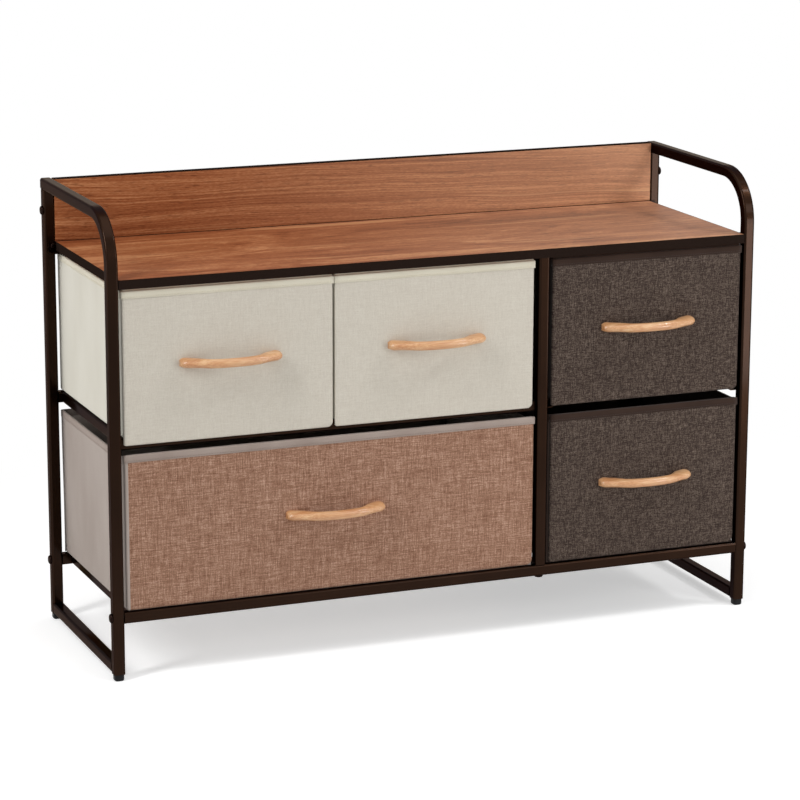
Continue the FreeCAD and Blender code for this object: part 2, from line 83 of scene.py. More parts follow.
class Surface:
    """A node material with short calls for the nodes that the surfaces here share."""

    def __init__(self, name, roughness, specular=0.5):
        self.material = bpy.data.materials.new(name)
        self.material.use_nodes = True
        self.tree = self.material.node_tree
        self.shader = self.tree.nodes["Principled BSDF"]
        self.set_input("Roughness", roughness)
        self.set_input("Specular IOR Level", specular)
        self.place = self.tree.nodes.new("ShaderNodeTexCoord").outputs["Object"]

    def set_input(self, name, value):
        self.shader.inputs[name].default_value = value

    def join(self, output, socket):
        self.tree.links.new(output, socket)

    def scaled(self, sizes, source=None):
        """Coordinates in which each axis is measured in its own length, given in millimetres."""
        mapping = self.tree.nodes.new("ShaderNodeMapping")
        mapping.inputs["Scale"].default_value = [1 / (size * MM) for size in sizes]
        self.join(source or self.place, mapping.inputs["Vector"])
        return mapping.outputs["Vector"]

    def noise(self, sizes, detail=2.0, roughness=0.5, distortion=0.0, source=None):
        """Noise whose grains have the given lengths along X, Y and Z, in millimetres."""
        node = self.tree.nodes.new("ShaderNodeTexNoise")
        node.inputs["Scale"].default_value = 1.0
        node.inputs["Detail"].default_value = detail
        node.inputs["Roughness"].default_value = roughness
        node.inputs["Distortion"].default_value = distortion
        self.join(self.scaled(sizes, source), node.inputs["Vector"])
        return node.outputs["Fac"]

    def math(self, operation, first, second=None, third=None):
        """The result of a sum on up to three values, each a number or a socket."""
        node = self.tree.nodes.new("ShaderNodeMath")
        node.operation = operation
        for socket, value in zip(node.inputs, (first, second, third)):
            if value is None:
                continue
            if isinstance(value, (int, float)):
                socket.default_value = value
            else:
                self.join(value, socket)
        return node.outputs["Value"]

    def weighted(self, parts):
        """The sum of several values, each times its own share."""
        total = 0.0
        for value, share in parts:
            total = self.math("MULTIPLY_ADD", value, share, total)
        return total

    def wave(self, axis, length_mm):
        """A wave along one axis, between -1 and 1."""
        return self.math("SINE", self.math("MULTIPLY", self.axis(axis), 2 * math.pi / (length_mm * MM)))

    def ramp(self, value, stops):
        """A colour for each value, blended between stops of (value, colour)."""
        node = self.tree.nodes.new("ShaderNodeValToRGB")
        elements = node.color_ramp.elements
        while len(elements) < len(stops):
            elements.new(0.5)
        for element, (position, shade) in zip(elements, stops):
            element.position = position
            element.color = shade
        self.join(value, node.inputs["Fac"])
        return node.outputs["Color"]

    def mix(self, factor, first, second, blend="MIX"):
        """Two colours blended by a factor, each a constant or a socket."""
        node = self.tree.nodes.new("ShaderNodeMix")
        node.data_type = "RGBA"
        node.blend_type = blend
        for name, value in (("Factor", factor), ("A", first), ("B", second)):
            socket = next(s for s in node.inputs if s.name == name and s.enabled)
            if isinstance(value, bpy.types.NodeSocket):
                self.join(value, socket)
            else:
                socket.default_value = value
        return next(s for s in node.outputs if s.enabled)

    def shifted(self, offset):
        """The place on the object, moved along Y and Z by an offset in metres."""
        both = self.tree.nodes.new("ShaderNodeCombineXYZ")
        self.join(offset, both.inputs["Y"])
        self.join(offset, both.inputs["Z"])
        moved = self.tree.nodes.new("ShaderNodeVectorMath")
        self.join(self.place, moved.inputs[0])
        self.join(both.outputs["Vector"], moved.inputs[1])
        return moved.outputs["Vector"]

    def rise(self, value, low, high, top):
        """A smooth rise from 0 to a top value between two values."""
        node = self.tree.nodes.new("ShaderNodeMapRange")
        node.interpolation_type = "SMOOTHSTEP"
        node.inputs["From Min"].default_value = low
        node.inputs["From Max"].default_value = high
        node.inputs["To Max"].default_value = top
        self.join(value, node.inputs["Value"])
        return node.outputs["Result"]

    def axis(self, name):
        """One coordinate of the place on the object, in metres."""
        node = self.tree.nodes.new("ShaderNodeSeparateXYZ")
        self.join(self.place, node.inputs["Vector"])
        return node.outputs[name]

    def bump(self, height, depth_mm):
        """A fine relief with the given depth."""
        node = self.tree.nodes.new("ShaderNodeBump")
        node.inputs["Strength"].default_value = 1.0
        node.inputs["Distance"].default_value = depth_mm * MM
        self.join(height, node.inputs["Height"])
        self.join(node.outputs["Normal"], self.shader.inputs["Normal"])

    def paint(self, shade):
        self.join(shade, self.shader.inputs["Base Color"])


# Materials


LINEN_DEPTH_MM = 40
SLUB_WIDTH = 1.5
WEAVE_MM = 0.9
WEAVE_SHARE = 0.15


def linen(name, shades, thread_mm, run_mm, slub_share, contrast):
    """Coarse linen: slubbed warp and weft threads, each a little lighter or darker than the next."""
    dark, middle, light = shades
    cloth = Surface(name, roughness=0.9, specular=0.1)
    cloth.set_input("Sheen Weight", 0.05)
    cloth.set_input("Sheen Roughness", 0.5)
    slub_mm = SLUB_WIDTH * thread_mm
    warp = cloth.noise((thread_mm, LINEN_DEPTH_MM, run_mm), detail=3.0, roughness=0.65)
    weft = cloth.noise((run_mm, LINEN_DEPTH_MM, thread_mm), detail=3.0, roughness=0.65)
    slub = cloth.noise((slub_mm, LINEN_DEPTH_MM, slub_mm))
    thread_share = (1 - slub_share) / 2
    threads = cloth.weighted([(warp, thread_share), (weft, thread_share), (slub, slub_share)])
    cloth.paint(cloth.ramp(threads, [(0.5 - contrast, dark), (0.5, middle), (0.5 + contrast, light)]))
    weave = cloth.math("MULTIPLY", cloth.wave("X", WEAVE_MM), cloth.wave("Z", WEAVE_MM))
    cloth.bump(cloth.math("MULTIPLY_ADD", weave, WEAVE_SHARE, threads), depth_mm=0.45)
    return cloth.material


def non_woven(name, dark, light):
    """Felted cloth with a fine dimpled grain and soft uneven patches."""
    cloth = Surface(name, roughness=0.92, specular=0.15)
    cloth.set_input("Sheen Weight", 0.1)
    patches = cloth.noise((70, 70, 160), detail=3.0)
    fibres = cloth.noise((0.7, 0.7, 0.7))
    tone = cloth.weighted([(patches, 0.7), (fibres, 0.3)])
    cloth.paint(cloth.ramp(tone, [(0.3, dark), (0.7, light)]))
    cloth.bump(fibres, depth_mm=0.12)
    return cloth.material


GRAIN_SLOPE = 0.018
GRAIN_WANDER = 22.0 * MM
PORE_SHARE = 0.6
PALE_STREAK_SHARE = 0.5
# Heights between which the painted sheen of the back board fades in.
UPRIGHT_FROM = 0.524
UPRIGHT_TO = 0.53


def laminate(name):
    """Walnut-look laminate: wandering growth lines along X, fine fibres and pores, and a painted sheen
    that pales it to the right, more on the back board.
    """
    wood = Surface(name, roughness=0.5, specular=0.03)
    along = wood.axis("X")
    wander = wood.math("MULTIPLY_ADD", wood.noise((320, 90, 90)), GRAIN_WANDER, -GRAIN_WANDER / 2)
    grain = wood.shifted(wood.math("MULTIPLY_ADD", along, GRAIN_SLOPE, wander))
    bands = wood.noise((1500, 44, 13), source=grain)
    streaks = wood.noise((900, 32, 2.1), detail=3.0, roughness=0.65, source=grain)
    fibres = wood.noise((130, 7, 1.4), source=grain)
    specks = wood.noise((5, 2.2, 1.2), detail=1.0)
    figure = wood.weighted([(streaks, 0.36), (bands, 0.32), (specks, 0.14), (fibres, 0.22)])
    base = wood.ramp(figure, [
        (0.38, colour(104, 51, 26)),
        (0.465, colour(138, 78, 46)),
        (0.535, colour(154, 93, 58)),
        (0.62, colour(183, 124, 84)),
    ])
    pores = wood.noise((18, 2, 1.2), source=grain)
    pore_mask = wood.ramp(pores, [(0.33, WHITE), (0.42, BLACK)])
    base = wood.mix(wood.math("MULTIPLY", pore_mask, PORE_SHARE), base, colour(98, 50, 28))
    long_streaks = wood.noise((1400, 24, 7), source=grain)
    pale_mask = wood.ramp(long_streaks, [(0.64, BLACK), (0.72, WHITE)])
    base = wood.mix(wood.math("MULTIPLY", pale_mask, PALE_STREAK_SHARE), base, colour(206, 152, 106))
    # Painted sheen on the back board: a pale tone added above the top board, growing towards the right.
    back_board_sheen = wood.rise(wood.axis("Z"), UPRIGHT_FROM, UPRIGHT_TO, 0.26)
    back_board_sheen = wood.math("MULTIPLY", wood.rise(along, -0.42, 0.36, 1.0), back_board_sheen)
    base = wood.mix(back_board_sheen, base, colour(150, 120, 95), "ADD")
    # Painted sheen: a pale tone added more and more towards the right of both boards.
    painted_sheen = wood.rise(along, -0.3, 0.4, 0.48)
    wood.paint(wood.mix(painted_sheen, base, colour(127, 121, 107), "ADD"))
    wood.bump(wood.math("ADD", pores, streaks), depth_mm=0.06)
    return wood.material


def powder_coat(name, shade, roughness):
    """Satin metallic powder coat with a fine orange-peel skin, dim where it is seen at a low angle."""
    coat = Surface(name, roughness=roughness)
    coat.set_input("Metallic", 1.0)
    coat.set_input("Specular Tint", (0.41, 0.34, 0.27, 1.0))
    coat.set_input("Coat Weight", 0.08)
    coat.set_input("Coat Roughness", 0.1)
    patches = coat.noise((60, 60, 60), detail=3.0)
    peel = coat.noise((1.6, 1.6, 1.6))
    coat.paint(coat.ramp(patches, [(0.35, toned(shade, 0.82)), (0.65, shade)]))
    coat.bump(peel, depth_mm=0.02)
    return coat.material


def varnished_wood(name):
    """Pale varnished wood, with its grain along the handle."""
    wood = Surface(name, roughness=0.4, specular=0.4)
    wood.set_input("Coat Weight", 0.6)
    wood.set_input("Coat Roughness", 0.13)
    grain = wood.noise((45, 1.1, 1.1), detail=3.0, distortion=0.3)
    broad = wood.noise((60, 9, 9))
    tone = wood.weighted([(broad, 0.5), (grain, 0.5)])
    wood.paint(wood.ramp(tone, [
        (0.34, colour(182, 122, 76)),
        (0.5, colour(203, 151, 105)),
        (0.66, colour(222, 182, 138)),
    ]))
    wood.bump(grain, depth_mm=0.03)
    return wood.material


def moulded(name, shade, roughness, specular=0.4):
    """Plastic or twisted thread with a fine grain."""
    plastic = Surface(name, roughness=roughness, specular=specular)
    grain = plastic.noise((0.9, 0.9, 0.9))
    plastic.paint(plastic.ramp(grain, [(0.35, shade), (0.7, toned(shade, 1.3, 0.002))]))
    plastic.bump(grain, depth_mm=0.04)
    return plastic.material


def bare_steel(name, shade):
    """Plated steel with faint turning marks."""
    steel = Surface(name, roughness=0.32)
    steel.set_input("Metallic", 1.0)
    marks = steel.noise((0.5, 0.5, 0.5), detail=3.0)
    steel.paint(steel.ramp(marks, [(0.3, shade), (0.7, toned(shade, 1.25))]))
    steel.bump(marks, depth_mm=0.02)
    return steel.material


def fibre_board(name):
    """Grey-brown fibre board with pressed fibres."""
    board = Surface(name, roughness=0.85, specular=0.2)
    fibres = board.noise((3.0, 3.0, 1.0), detail=4.0, roughness=0.7)
    board.paint(board.ramp(fibres, [(0.3, colour(88, 72, 60)), (0.7, colour(118, 100, 84))]))
    board.bump(fibres, depth_mm=0.1)
    return board.material


CREAM_SHADES = (colour(193, 185, 172), colour(205, 198, 185), colour(215, 210, 198))
TAN_SHADES = (colour(110, 74, 56), colour(151, 114, 93), colour(197, 161, 140))
ESPRESSO_SHADES = (colour(34, 25, 21), colour(68, 56, 50), colour(118, 104, 93))
MATERIALS = {
    "frame_metal": powder_coat("frame_metal", colour(38, 23, 14), roughness=0.3),
    "bolt_black": powder_coat("bolt_black", colour(28, 15, 11), roughness=0.3),
    "bracket_steel": powder_coat("bracket_steel", colour(30, 14, 9), roughness=0.4),
    "foot_plastic": moulded("foot_plastic", colour(20, 20, 21), roughness=0.45, specular=0.12),
    "edge_band": moulded("edge_band", colour(33, 24, 20), roughness=0.5, specular=0.0),
    "nut_steel": bare_steel("nut_steel", colour(150, 150, 152)),
    "screw_steel": bare_steel("screw_steel", colour(140, 137, 134)),
    "walnut_laminate": laminate("walnut_laminate"),
    "handle_wood": varnished_wood("handle_wood"),
    "insert_board": fibre_board("insert_board"),
    "cream_linen": linen(
        "cream_linen", CREAM_SHADES, thread_mm=1.0, run_mm=14, slub_share=0.3, contrast=0.2,
    ),
    "tan_linen": linen(
        "tan_linen", TAN_SHADES, thread_mm=1.0, run_mm=18, slub_share=0.24, contrast=0.14,
    ),
    "espresso_linen": linen(
        "espresso_linen", ESPRESSO_SHADES, thread_mm=0.75, run_mm=8, slub_share=0.3, contrast=0.115,
    ),
    "cream_cloth": non_woven("cream_cloth", colour(205, 200, 186), colour(217, 213, 201)),
    "taupe_cloth": non_woven("taupe_cloth", colour(158, 145, 136), colour(176, 164, 156)),
    "espresso_cloth": non_woven("espresso_cloth", colour(48, 37, 32), colour(62, 50, 44)),
    "cream_binding": non_woven("cream_binding", colour(206, 199, 180), colour(222, 216, 198)),
    "taupe_binding": non_woven("taupe_binding", colour(146, 131, 122), colour(166, 152, 143)),
    "espresso_binding": non_woven("espresso_binding", colour(44, 30, 23), colour(57, 41, 33)),
}
CLOTH = {"cream": "cream_cloth", "tan": "taupe_cloth", "espresso": "espresso_cloth"}
LINEN = {"cream": "cream_linen", "tan": "tan_linen", "espresso": "espresso_linen"}
BINDING = {"cream": "cream_binding", "tan": "taupe_binding", "espresso": "espresso_binding"}
THREAD = {
    "cream": moulded("cream_thread", colour(196, 188, 168), roughness=0.8),
    "tan": moulded("taupe_thread", colour(134, 119, 110), roughness=0.8),
    "espresso": moulded("espresso_thread", colour(50, 38, 34), roughness=0.8),
}

for part in frame["record"]["subparts"]:
    carried = frame["nodes"][part["node"]]
    carried.data.materials.clear()
    carried.data.materials.append(MATERIALS[part["material_slot"]])


# Mesh tools


EDGE_SHARES = (0.0, 0.04, 0.16, 0.36, 0.64)
SEED_STEP = 17.3


def make_piece(name, points, faces, materials, face_materials=None):
    """A smooth-shaded object from points in metres and lists of corner numbers."""
    mesh = bpy.data.meshes.new(name)
    mesh.from_pydata(points, [], faces)
    for material in materials:
        mesh.materials.append(material)
    if face_materials:
        mesh.polygons.foreach_set("material_index", face_materials)
    shell = bmesh.new()
    shell.from_mesh(mesh)
    bmesh.ops.recalc_face_normals(shell, faces=shell.faces)
    shell.to_mesh(mesh)
    shell.free()
    mesh.polygons.foreach_set("use_smooth", [True] * len(mesh.polygons))
    piece = bpy.data.objects.new(name, mesh)
    bpy.context.scene.collection.objects.link(piece)
    return piece


def ring_faces(rings, width, closed=False):
    """Faces that join rings of equally many points to a tube: two capped ends, or end joined to start."""
    faces = []
    for ring in range(rings if closed else rings - 1):
        first = ring * width
        second = (ring + 1) % rings * width
        for k in range(width):
            after = (k + 1) % width
            faces.append((first + k, first + after, second + after, second + k))
    if not closed:
        last = (rings - 1) * width
        faces.append(tuple(range(width)))
        faces.append(tuple(range(last, last + width)))
    return faces


def add_part(points, faces, more_points, more_faces):
    """Put a second set of points and faces behind a first one."""
    start = len(points)
    points += more_points
    faces += [tuple(start + k for k in face) for face in more_faces]


def waver(x, y, z, length_mm, seed):
    """A smooth random swing between about -1 and 1, with the given length of wave."""
    scale = 1 / (length_mm * MM)
    return noise.noise(Vector((x * scale + seed * SEED_STEP, y * scale, z * scale)))


def ease(value):
    """A smooth rise from 0 to 1 between the values 0 and 1."""
    value = min(1.0, max(0.0, value))
    return value * value * (3 - 2 * value)


def steps_between(low, high, count):
    """Evenly spaced places from one value to another, both included."""
    return [low + (high - low) * k / count for k in range(count + 1)]


def grid_lines(low, high, edge, count):
    """Places along one side of a panel: close together near both ends, even in between."""
    close = [edge * share for share in EDGE_SHARES]
    start = [low + step for step in close]
    end = [high - step for step in reversed(close)]
    return start + steps_between(low + edge, high - edge, count) + end


# Drawer fronts: a linen panel with cloth-wrapped edges, and a strip of the cloth on the tan one's left


FACE_EDGE = 2.0 * MM
FACE_CORNER = 7.5 * MM
LEFT_CORNER = 3.5 * MM
FACE_REACH = {"cream_left": (1.8 * MM, 0.0), "tan_wide": (1.8 * MM, 2.3 * MM)}
FACE_STRIP = {"tan": 5.0 * MM}
FACE_CELL = 9.0 * MM
FACE_CROWN = 0.7 * MM
FACE_RIPPLE = 0.35 * MM
FACE_RIPPLE_MM = 90
LINEN_PART = 0
CLOTH_PART = 1


def lower_corner(x, low, high):
    """The side and the rounding of the lower corner that is nearer to a place along a panel."""
    if x < (low.x + high.x) / 2:
        return -1, LEFT_CORNER
    return 1, FACE_CORNER


def into_corner(x, z, low, high):
    """Draw a point of a square corner into the rounded corner of a panel."""
    side, radius = lower_corner(x, low, high)
    across = max(low.x + radius - x, x - (high.x - radius)) / radius
    down = (low.z + radius - z) / radius
    if across <= 0 or down <= 0:
        return x, z
    new_across = across * math.sqrt(1 - down * down / 2)
    new_down = down * math.sqrt(1 - across * across / 2)
    centre = low.x + radius if side < 0 else high.x - radius
    return centre + side * new_across * radius, low.z + radius - new_down * radius


def edge_distance(x, z, low, high):
    """How far a point lies inside the outline of a panel with rounded lower corners."""
    _, radius = lower_corner(x, low, high)
    across = max(low.x + radius - x, x - (high.x - radius))
    down = low.z + radius - z
    if across > 0 and down > 0:
        return radius - math.hypot(across, down)
    return min(x - low.x, high.x - x, z - low.z, high.z - z)


def face_box(name):
    """The corners of one front, whose cloth reaches a little past its board on the left drawers."""
    low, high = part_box(name + "_front_face")
    left, right = FACE_REACH.get(name, (0.0, 0.0))
    return low - Vector((left, 0, 0)), high + Vector((right, 0, 0))


def face_point(grid_x, grid_z, low, high, seed):
    """A point of the linen: crowned and rippled in the middle, rounded off at the edges."""
    x, z = into_corner(grid_x, grid_z, low, high)
    inside = max(0.0, edge_distance(x, z, low, high))
    share = 1 - min(inside, FACE_EDGE) / FACE_EDGE
    round_off = FACE_EDGE * (1 - math.sqrt(1 - share * share))
    across = 2 * (x - low.x) / (high.x - low.x) - 1
    up = 2 * (z - low.z) / (high.z - low.z) - 1
    crown = FACE_CROWN * (1 - across ** 4) * (1 - up ** 4)
    ripple = FACE_RIPPLE * waver(x, 0, z, FACE_RIPPLE_MM, seed) * (1 - share)
    return x, low.y + round_off - crown * (1 - share) + ripple, z


def front_face(name, kind, seed):
    """The linen front of one drawer."""
    low, high = face_box(name)
    xs = grid_lines(low.x, high.x, FACE_CORNER, round((high.x - low.x) / FACE_CELL))
    zs = grid_lines(low.z, high.z, FACE_CORNER, round((high.z - low.z) / FACE_CELL))
    columns = len(xs)
    rows = len(zs)
    points = [face_point(x, z, low, high, seed) for z in zs for x in xs]
    linen_from = low.x + FACE_STRIP.get(kind, 0.0)
    faces = []
    parts = []
    for row in range(rows - 1):
        for column in range(columns - 1):
            first = row * columns + column
            faces.append((first, first + 1, first + columns + 1, first + columns))
            middle = (xs[column] + xs[column + 1]) / 2
            parts.append(LINEN_PART if middle > linen_from else CLOTH_PART)
    rim = list(range(columns))
    rim += [row * columns + columns - 1 for row in range(1, rows)]
    rim += [(rows - 1) * columns + k for k in range(columns - 2, -1, -1)]
    rim += [row * columns for row in range(rows - 2, 0, -1)]
    start = len(points)
    points += [(points[k][0], high.y, points[k][2]) for k in rim]
    for k in range(len(rim)):
        after = (k + 1) % len(rim)
        faces.append((rim[k], rim[after], start + after, start + k))
        parts.append(CLOTH_PART)
    faces.append(tuple(range(start, start + len(rim))))
    parts.append(CLOTH_PART)
    materials = [MATERIALS[LINEN[kind]], MATERIALS[CLOTH[kind]]]
    piece = make_piece(name + "_linen_front", points, faces, materials, parts)
    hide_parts(name + "_front_face")
    return piece


# Bins: one continuous shell, up the outside, over the top edge and down the inside


BIN_CORNER = 1.2 * MM
CORNER_STEPS = 6
BIN_WALL = 3.0 * MM
BIN_CELL = 14.0 * MM
BIN_EDGE = 3.5 * MM
EDGE_LEVELS = (0.0, 0.06, 0.2, 0.4, 0.65, 1.0)
WALL_LEVELS = 12
WALL_FROM = 12.0 * MM
WALL_TO = 6.0 * MM
TOP_EDGE = 2.0 * MM
INSIDE_LEVELS = 6
INSIDE_DROP = 0.5 * MM
BIN_BELLY = 0.7 * MM
BIN_RIPPLE = 0.5 * MM
BIN_RIPPLE_MM = 80
CREASE_DEPTH = 0.5 * MM
CREASE_WIDTH = 3.0 * MM
SIDE_FROM = 0.9
LEFT_LEAN = {"tan_wide": 1.5 * MM}
LEAN_RUN = 50.0 * MM
BIN_REACH = {
    "cream_left": (0.0, 0.0, 6.0 * MM),
    "tan_wide": (0.0, 2.3 * MM, 6.0 * MM),
    "espresso_lower": (3.0 * MM, 0.0, 0.0),
}


def rounded_loop(low, high, radius, cell, inset=0.0):
    """Points round a box seen from above, with the outward direction at each."""
    corners = [
        (low.x + radius, low.y + radius, 180),
        (high.x - radius, low.y + radius, 270),
        (high.x - radius, high.y - radius, 0),
        (low.x + radius, high.y - radius, 90),
    ]
    loop = []
    for number, (x, y, angle) in enumerate(corners):
        for k in range(CORNER_STEPS + 1):
            turn = math.radians(angle + 90 * k / CORNER_STEPS)
            out_x, out_y = math.cos(turn), math.sin(turn)
            loop.append((x + radius * out_x, y + radius * out_y, out_x, out_y))
        end_x, end_y = loop[-1][:2]
        next_x, next_y, next_angle = corners[(number + 1) % len(corners)]
        turn = math.radians(next_angle)
        out_x, out_y = math.cos(turn), math.sin(turn)
        run_x = next_x + radius * out_x - end_x
        run_y = next_y + radius * out_y - end_y
        count = max(2, round(math.hypot(run_x, run_y) / cell))
        for k in range(1, count):
            share = k / count
            loop.append((end_x + run_x * share, end_y + run_y * share, out_x, out_y))
    return [(x - inset * out_x, y - inset * out_y, out_x, out_y) for x, y, out_x, out_y in loop]


def crease(place, middle, width):
    """A narrow fold line at one place along a wall."""
    return math.exp(-((place - middle) / width) ** 2)


def bin_box(name):
    """The corners of one bin, whose cloth sags out a little to the left, right or back."""
    low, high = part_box(name + "_bin")
    left, right, back = BIN_REACH.get(name, (0.0, 0.0, 0.0))
    return low - Vector((left, 0, 0)), high + Vector((right, back, 0))


def side_lean(name, out_x, y, front, height):
    """How far the left wall leans in, from nothing at its front and its top."""
    lean = LEFT_LEAN.get(name, 0.0) if out_x < 0 else 0.0
    return lean * (1 - height) * ease((y - front) / LEAN_RUN) * out_x


def outer_ring(name, loop, low, high, z, seed):
    """The outside of a bin at one height: drawn in between its corners, rippled and turned under."""
    height = (z - low.z) / (high.z - low.z)
    belly = math.sin(math.pi * height)
    below = max(0.0, 1 - (z - low.z) / BIN_EDGE)
    tuck = BIN_EDGE * (1 - math.sqrt(1 - below * below))
    fold_y = (low.y + high.y) / 2
    ring = []
    for x, y, out_x, out_y in loop:
        on_side = abs(out_x) > SIDE_FROM
        along = (y - low.y) / (high.y - low.y) if on_side else (x - low.x) / (high.x - low.x)
        sway = math.sin(math.pi * min(1.0, max(0.0, along))) * belly
        dent = CREASE_DEPTH * crease(y, fold_y, CREASE_WIDTH) * abs(out_x) * belly
        ripple = BIN_RIPPLE * waver(x, y, z, BIN_RIPPLE_MM, seed) * belly
        move = -BIN_BELLY * sway + ripple - dent
        under = tuck * ease((y - low.y) / LEAN_RUN) * out_x + side_lean(name, out_x, y, low.y, height)
        ring.append((x + out_x * move - under, y + out_y * move, z))
    return ring


def bin_shell(name, kind, seed):
    """The soft bin of one drawer, open at its top, with its sides turned under at the bottom."""
    low, high = bin_box(name)
    loop = rounded_loop(low, high, BIN_CORNER, BIN_CELL)
    levels = [low.z + BIN_EDGE * share for share in EDGE_LEVELS]
    levels += steps_between(low.z + WALL_FROM, high.z - WALL_TO, WALL_LEVELS)
    levels += [high.z - TOP_EDGE, high.z]
    rings = [outer_ring(name, loop, low, high, z, seed) for z in levels]
    inside = rounded_loop(low, high, BIN_CORNER, BIN_CELL, BIN_WALL)
    for z in reversed(steps_between(low.z + BIN_WALL, high.z - INSIDE_DROP, INSIDE_LEVELS)):
        height = (z - low.z) / (high.z - low.z)
        rings.append([(x - side_lean(name, out_x, y, low.y, height), y, z) for x, y, out_x, _ in inside])
    points = [point for ring in rings for point in ring]
    faces = ring_faces(len(rings), len(loop))
    piece = make_piece(name + "_cloth_bin", points, faces, [MATERIALS[CLOTH[kind]]])
    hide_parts(name + "_bin")
    return piece


# Rim bindings: tape folded over the top edge of the front and round the bin, with a row of stitches


TAPE_PROUD = 0.8 * MM
TAPE_HEIGHT = 9.0 * MM + TAPE_PROUD
TAPE_THICK = 0.9 * MM
SIDE_TAPE_THICK = 0.35 * MM
TAPE_BEND = 1.6 * MM
BEND_STEPS = 4
TAPE_LIP = 0.5 * MM
TAPE_LIP_RISE = 0.4 * MM
TAPE_WAVE = 0.25 * MM
TAPE_WAVE_MM = 45
TAPE_SWELL = 0.08
TAPE_SWELL_MM = 30
SWELL_SEED = 3
FRONT_TAPE_CELL = 8.0 * MM
RING_TAPE_CELL = 9.0 * MM
CORNER_LIFT = {"cream_left": 2.5 * MM, "cream_right": 2.5 * MM, "espresso_upper": 2.5 * MM}
CORNER_RUN = 12.0 * MM
STITCH_PITCH = 3.6 * MM
STITCH_DROP = 7.4 * MM
STITCH_RINGS = ((-1.35 * MM, 0.1 * MM), (-0.9 * MM, 0.3 * MM), (0.9 * MM, 0.3 * MM), (1.35 * MM, 0.1 * MM))
STITCH_SIDES = 6


def tape_section(thickness):
    """Half-rounded section of a folded tape: (outward, upward) from the middle of its top edge."""
    half = thickness / 2
    bend = min(half, TAPE_BEND)
    lip = -TAPE_HEIGHT + TAPE_LIP_RISE
    section = [(-half + TAPE_LIP, -TAPE_HEIGHT), (-half, lip), (-half, -TAPE_HEIGHT / 2)]
    for side, angle in ((-1, 180), (1, 90)):
        for k in range(BEND_STEPS + 1):
            turn = math.radians(angle - 90 * k / BEND_STEPS)
            out = side * (half - bend) + bend * math.cos(turn)
            section.append((out, -bend + bend * math.sin(turn)))
    section += [(half, -TAPE_HEIGHT / 2), (half, lip), (half - TAPE_LIP, -TAPE_HEIGHT)]
    return section


def tape_along(path, thickness, top, seed, closed, rise=lambda y: 0.0):
    """Points and faces of a tape that follows a path of (x, y, outward x, outward y)."""
    section = tape_section(thickness)
    points = []
    for x, y, out_x, out_y in path:
        lift = TAPE_WAVE * waver(x, y, top, TAPE_WAVE_MM, seed) + rise(y)
        swell = 1 + TAPE_SWELL * waver(x, y, top, TAPE_SWELL_MM, seed + SWELL_SEED)
        for out, up in section:
            points.append((x + out_x * out * swell, y + out_y * out * swell, top + up + lift))
    return points, ring_faces(len(path), len(section), closed)


def stitch(points, faces, centre, along, out):
    """One stitch: a short thread, thick in its middle, that lies along the tape."""
    up = Vector((0, 0, 1))
    made = []
    for shift, radius in STITCH_RINGS:
        for k in range(STITCH_SIDES):
            turn = 2 * math.pi * k / STITCH_SIDES
            spoke = out * math.cos(turn) + up * math.sin(turn)
            made.append(tuple(centre + along * shift + spoke * radius))
    add_part(points, faces, made, ring_faces(len(STITCH_RINGS), STITCH_SIDES))


def stitch_row(points, faces, start, end, out):
    """A row of stitches from one point to another."""
    start, end, out = Vector(start), Vector(end), Vector(out)
    along = (end - start).normalized()
    count = int((end - start).length / STITCH_PITCH)
    for k in range(count):
        stitch(points, faces, start + along * STITCH_PITCH * (k + 0.5), along, out)


def rim_tape(name, kind, seed):
    """The tape folded over the front and round the bin of one drawer."""
    face_low, face_high = face_box(name)
    bin_low, bin_high = bin_box(name)
    points = []
    faces = []
    middle_y = (face_low.y + face_high.y) / 2
    count = round((face_high.x - face_low.x) / FRONT_TAPE_CELL)
    xs = steps_between(face_low.x - TAPE_THICK, face_high.x + TAPE_THICK, count)
    path = [(x, middle_y, 0.0, -1.0) for x in xs]
    front_thick = face_high.y - face_low.y + 2 * TAPE_THICK
    front_top = face_high.z + TAPE_PROUD
    add_part(points, faces, *tape_along(path, front_thick, front_top, seed, False))
    ring = rounded_loop(bin_low, bin_high, BIN_CORNER, RING_TAPE_CELL, BIN_WALL / 2)
    side_thick = BIN_WALL + 2 * SIDE_TAPE_THICK
    side_top = bin_high.z + TAPE_PROUD
    corner_rise = front_top - side_top + CORNER_LIFT.get(name, 0.0)

    def rise(y):
        return corner_rise * (1 - ease((y - bin_low.y) / CORNER_RUN))

    add_part(points, faces, *tape_along(ring, side_thick, side_top, seed + 1, True, rise))
    tape = make_piece(name + "_rim_tape", points, faces, [MATERIALS[BINDING[kind]]])
    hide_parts(name + "_rim_binding")
    return tape


def rim_stitches(name, kind):
    """The rows of stitches in the tape of one drawer: along its front, sides and back."""
    face_low, face_high = face_box(name)
    bin_low, bin_high = bin_box(name)
    points = []
    faces = []
    front_y = face_low.y - TAPE_THICK
    z = face_high.z + TAPE_PROUD - STITCH_DROP
    stitch_row(points, faces, (face_low.x, front_y, z), (face_high.x, front_y, z), (0, -1, 0))
    z = bin_high.z + TAPE_PROUD - STITCH_DROP
    side_from = bin_low.y + CORNER_RUN
    side_to = bin_high.y - CORNER_RUN
    for side, x in ((-1, bin_low.x - SIDE_TAPE_THICK), (1, bin_high.x + SIDE_TAPE_THICK)):
        stitch_row(points, faces, (x, side_from, z), (x, side_to, z), (side, 0, 0))
    rear = bin_high.y + SIDE_TAPE_THICK
    rear_from = bin_low.x + CORNER_RUN
    rear_to = bin_high.x - CORNER_RUN
    stitch_row(points, faces, (rear_from, rear, z), (rear_to, rear, z), (0, 1, 0))
    thread = make_piece(name + "_rim_stitches", points, faces, [THREAD[kind]])
    return thread


BIN_SEED = 10
TAPE_SEED = 20

for number, (name, kind) in enumerate(DRAWERS.items()):
    body = name + "_drawer"
    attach(front_face(name, kind, number), body)
    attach(bin_shell(name, kind, number + BIN_SEED), body)
    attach(rim_tape(name, kind, number + TAPE_SEED), body)
    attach(rim_stitches(name, kind), body)
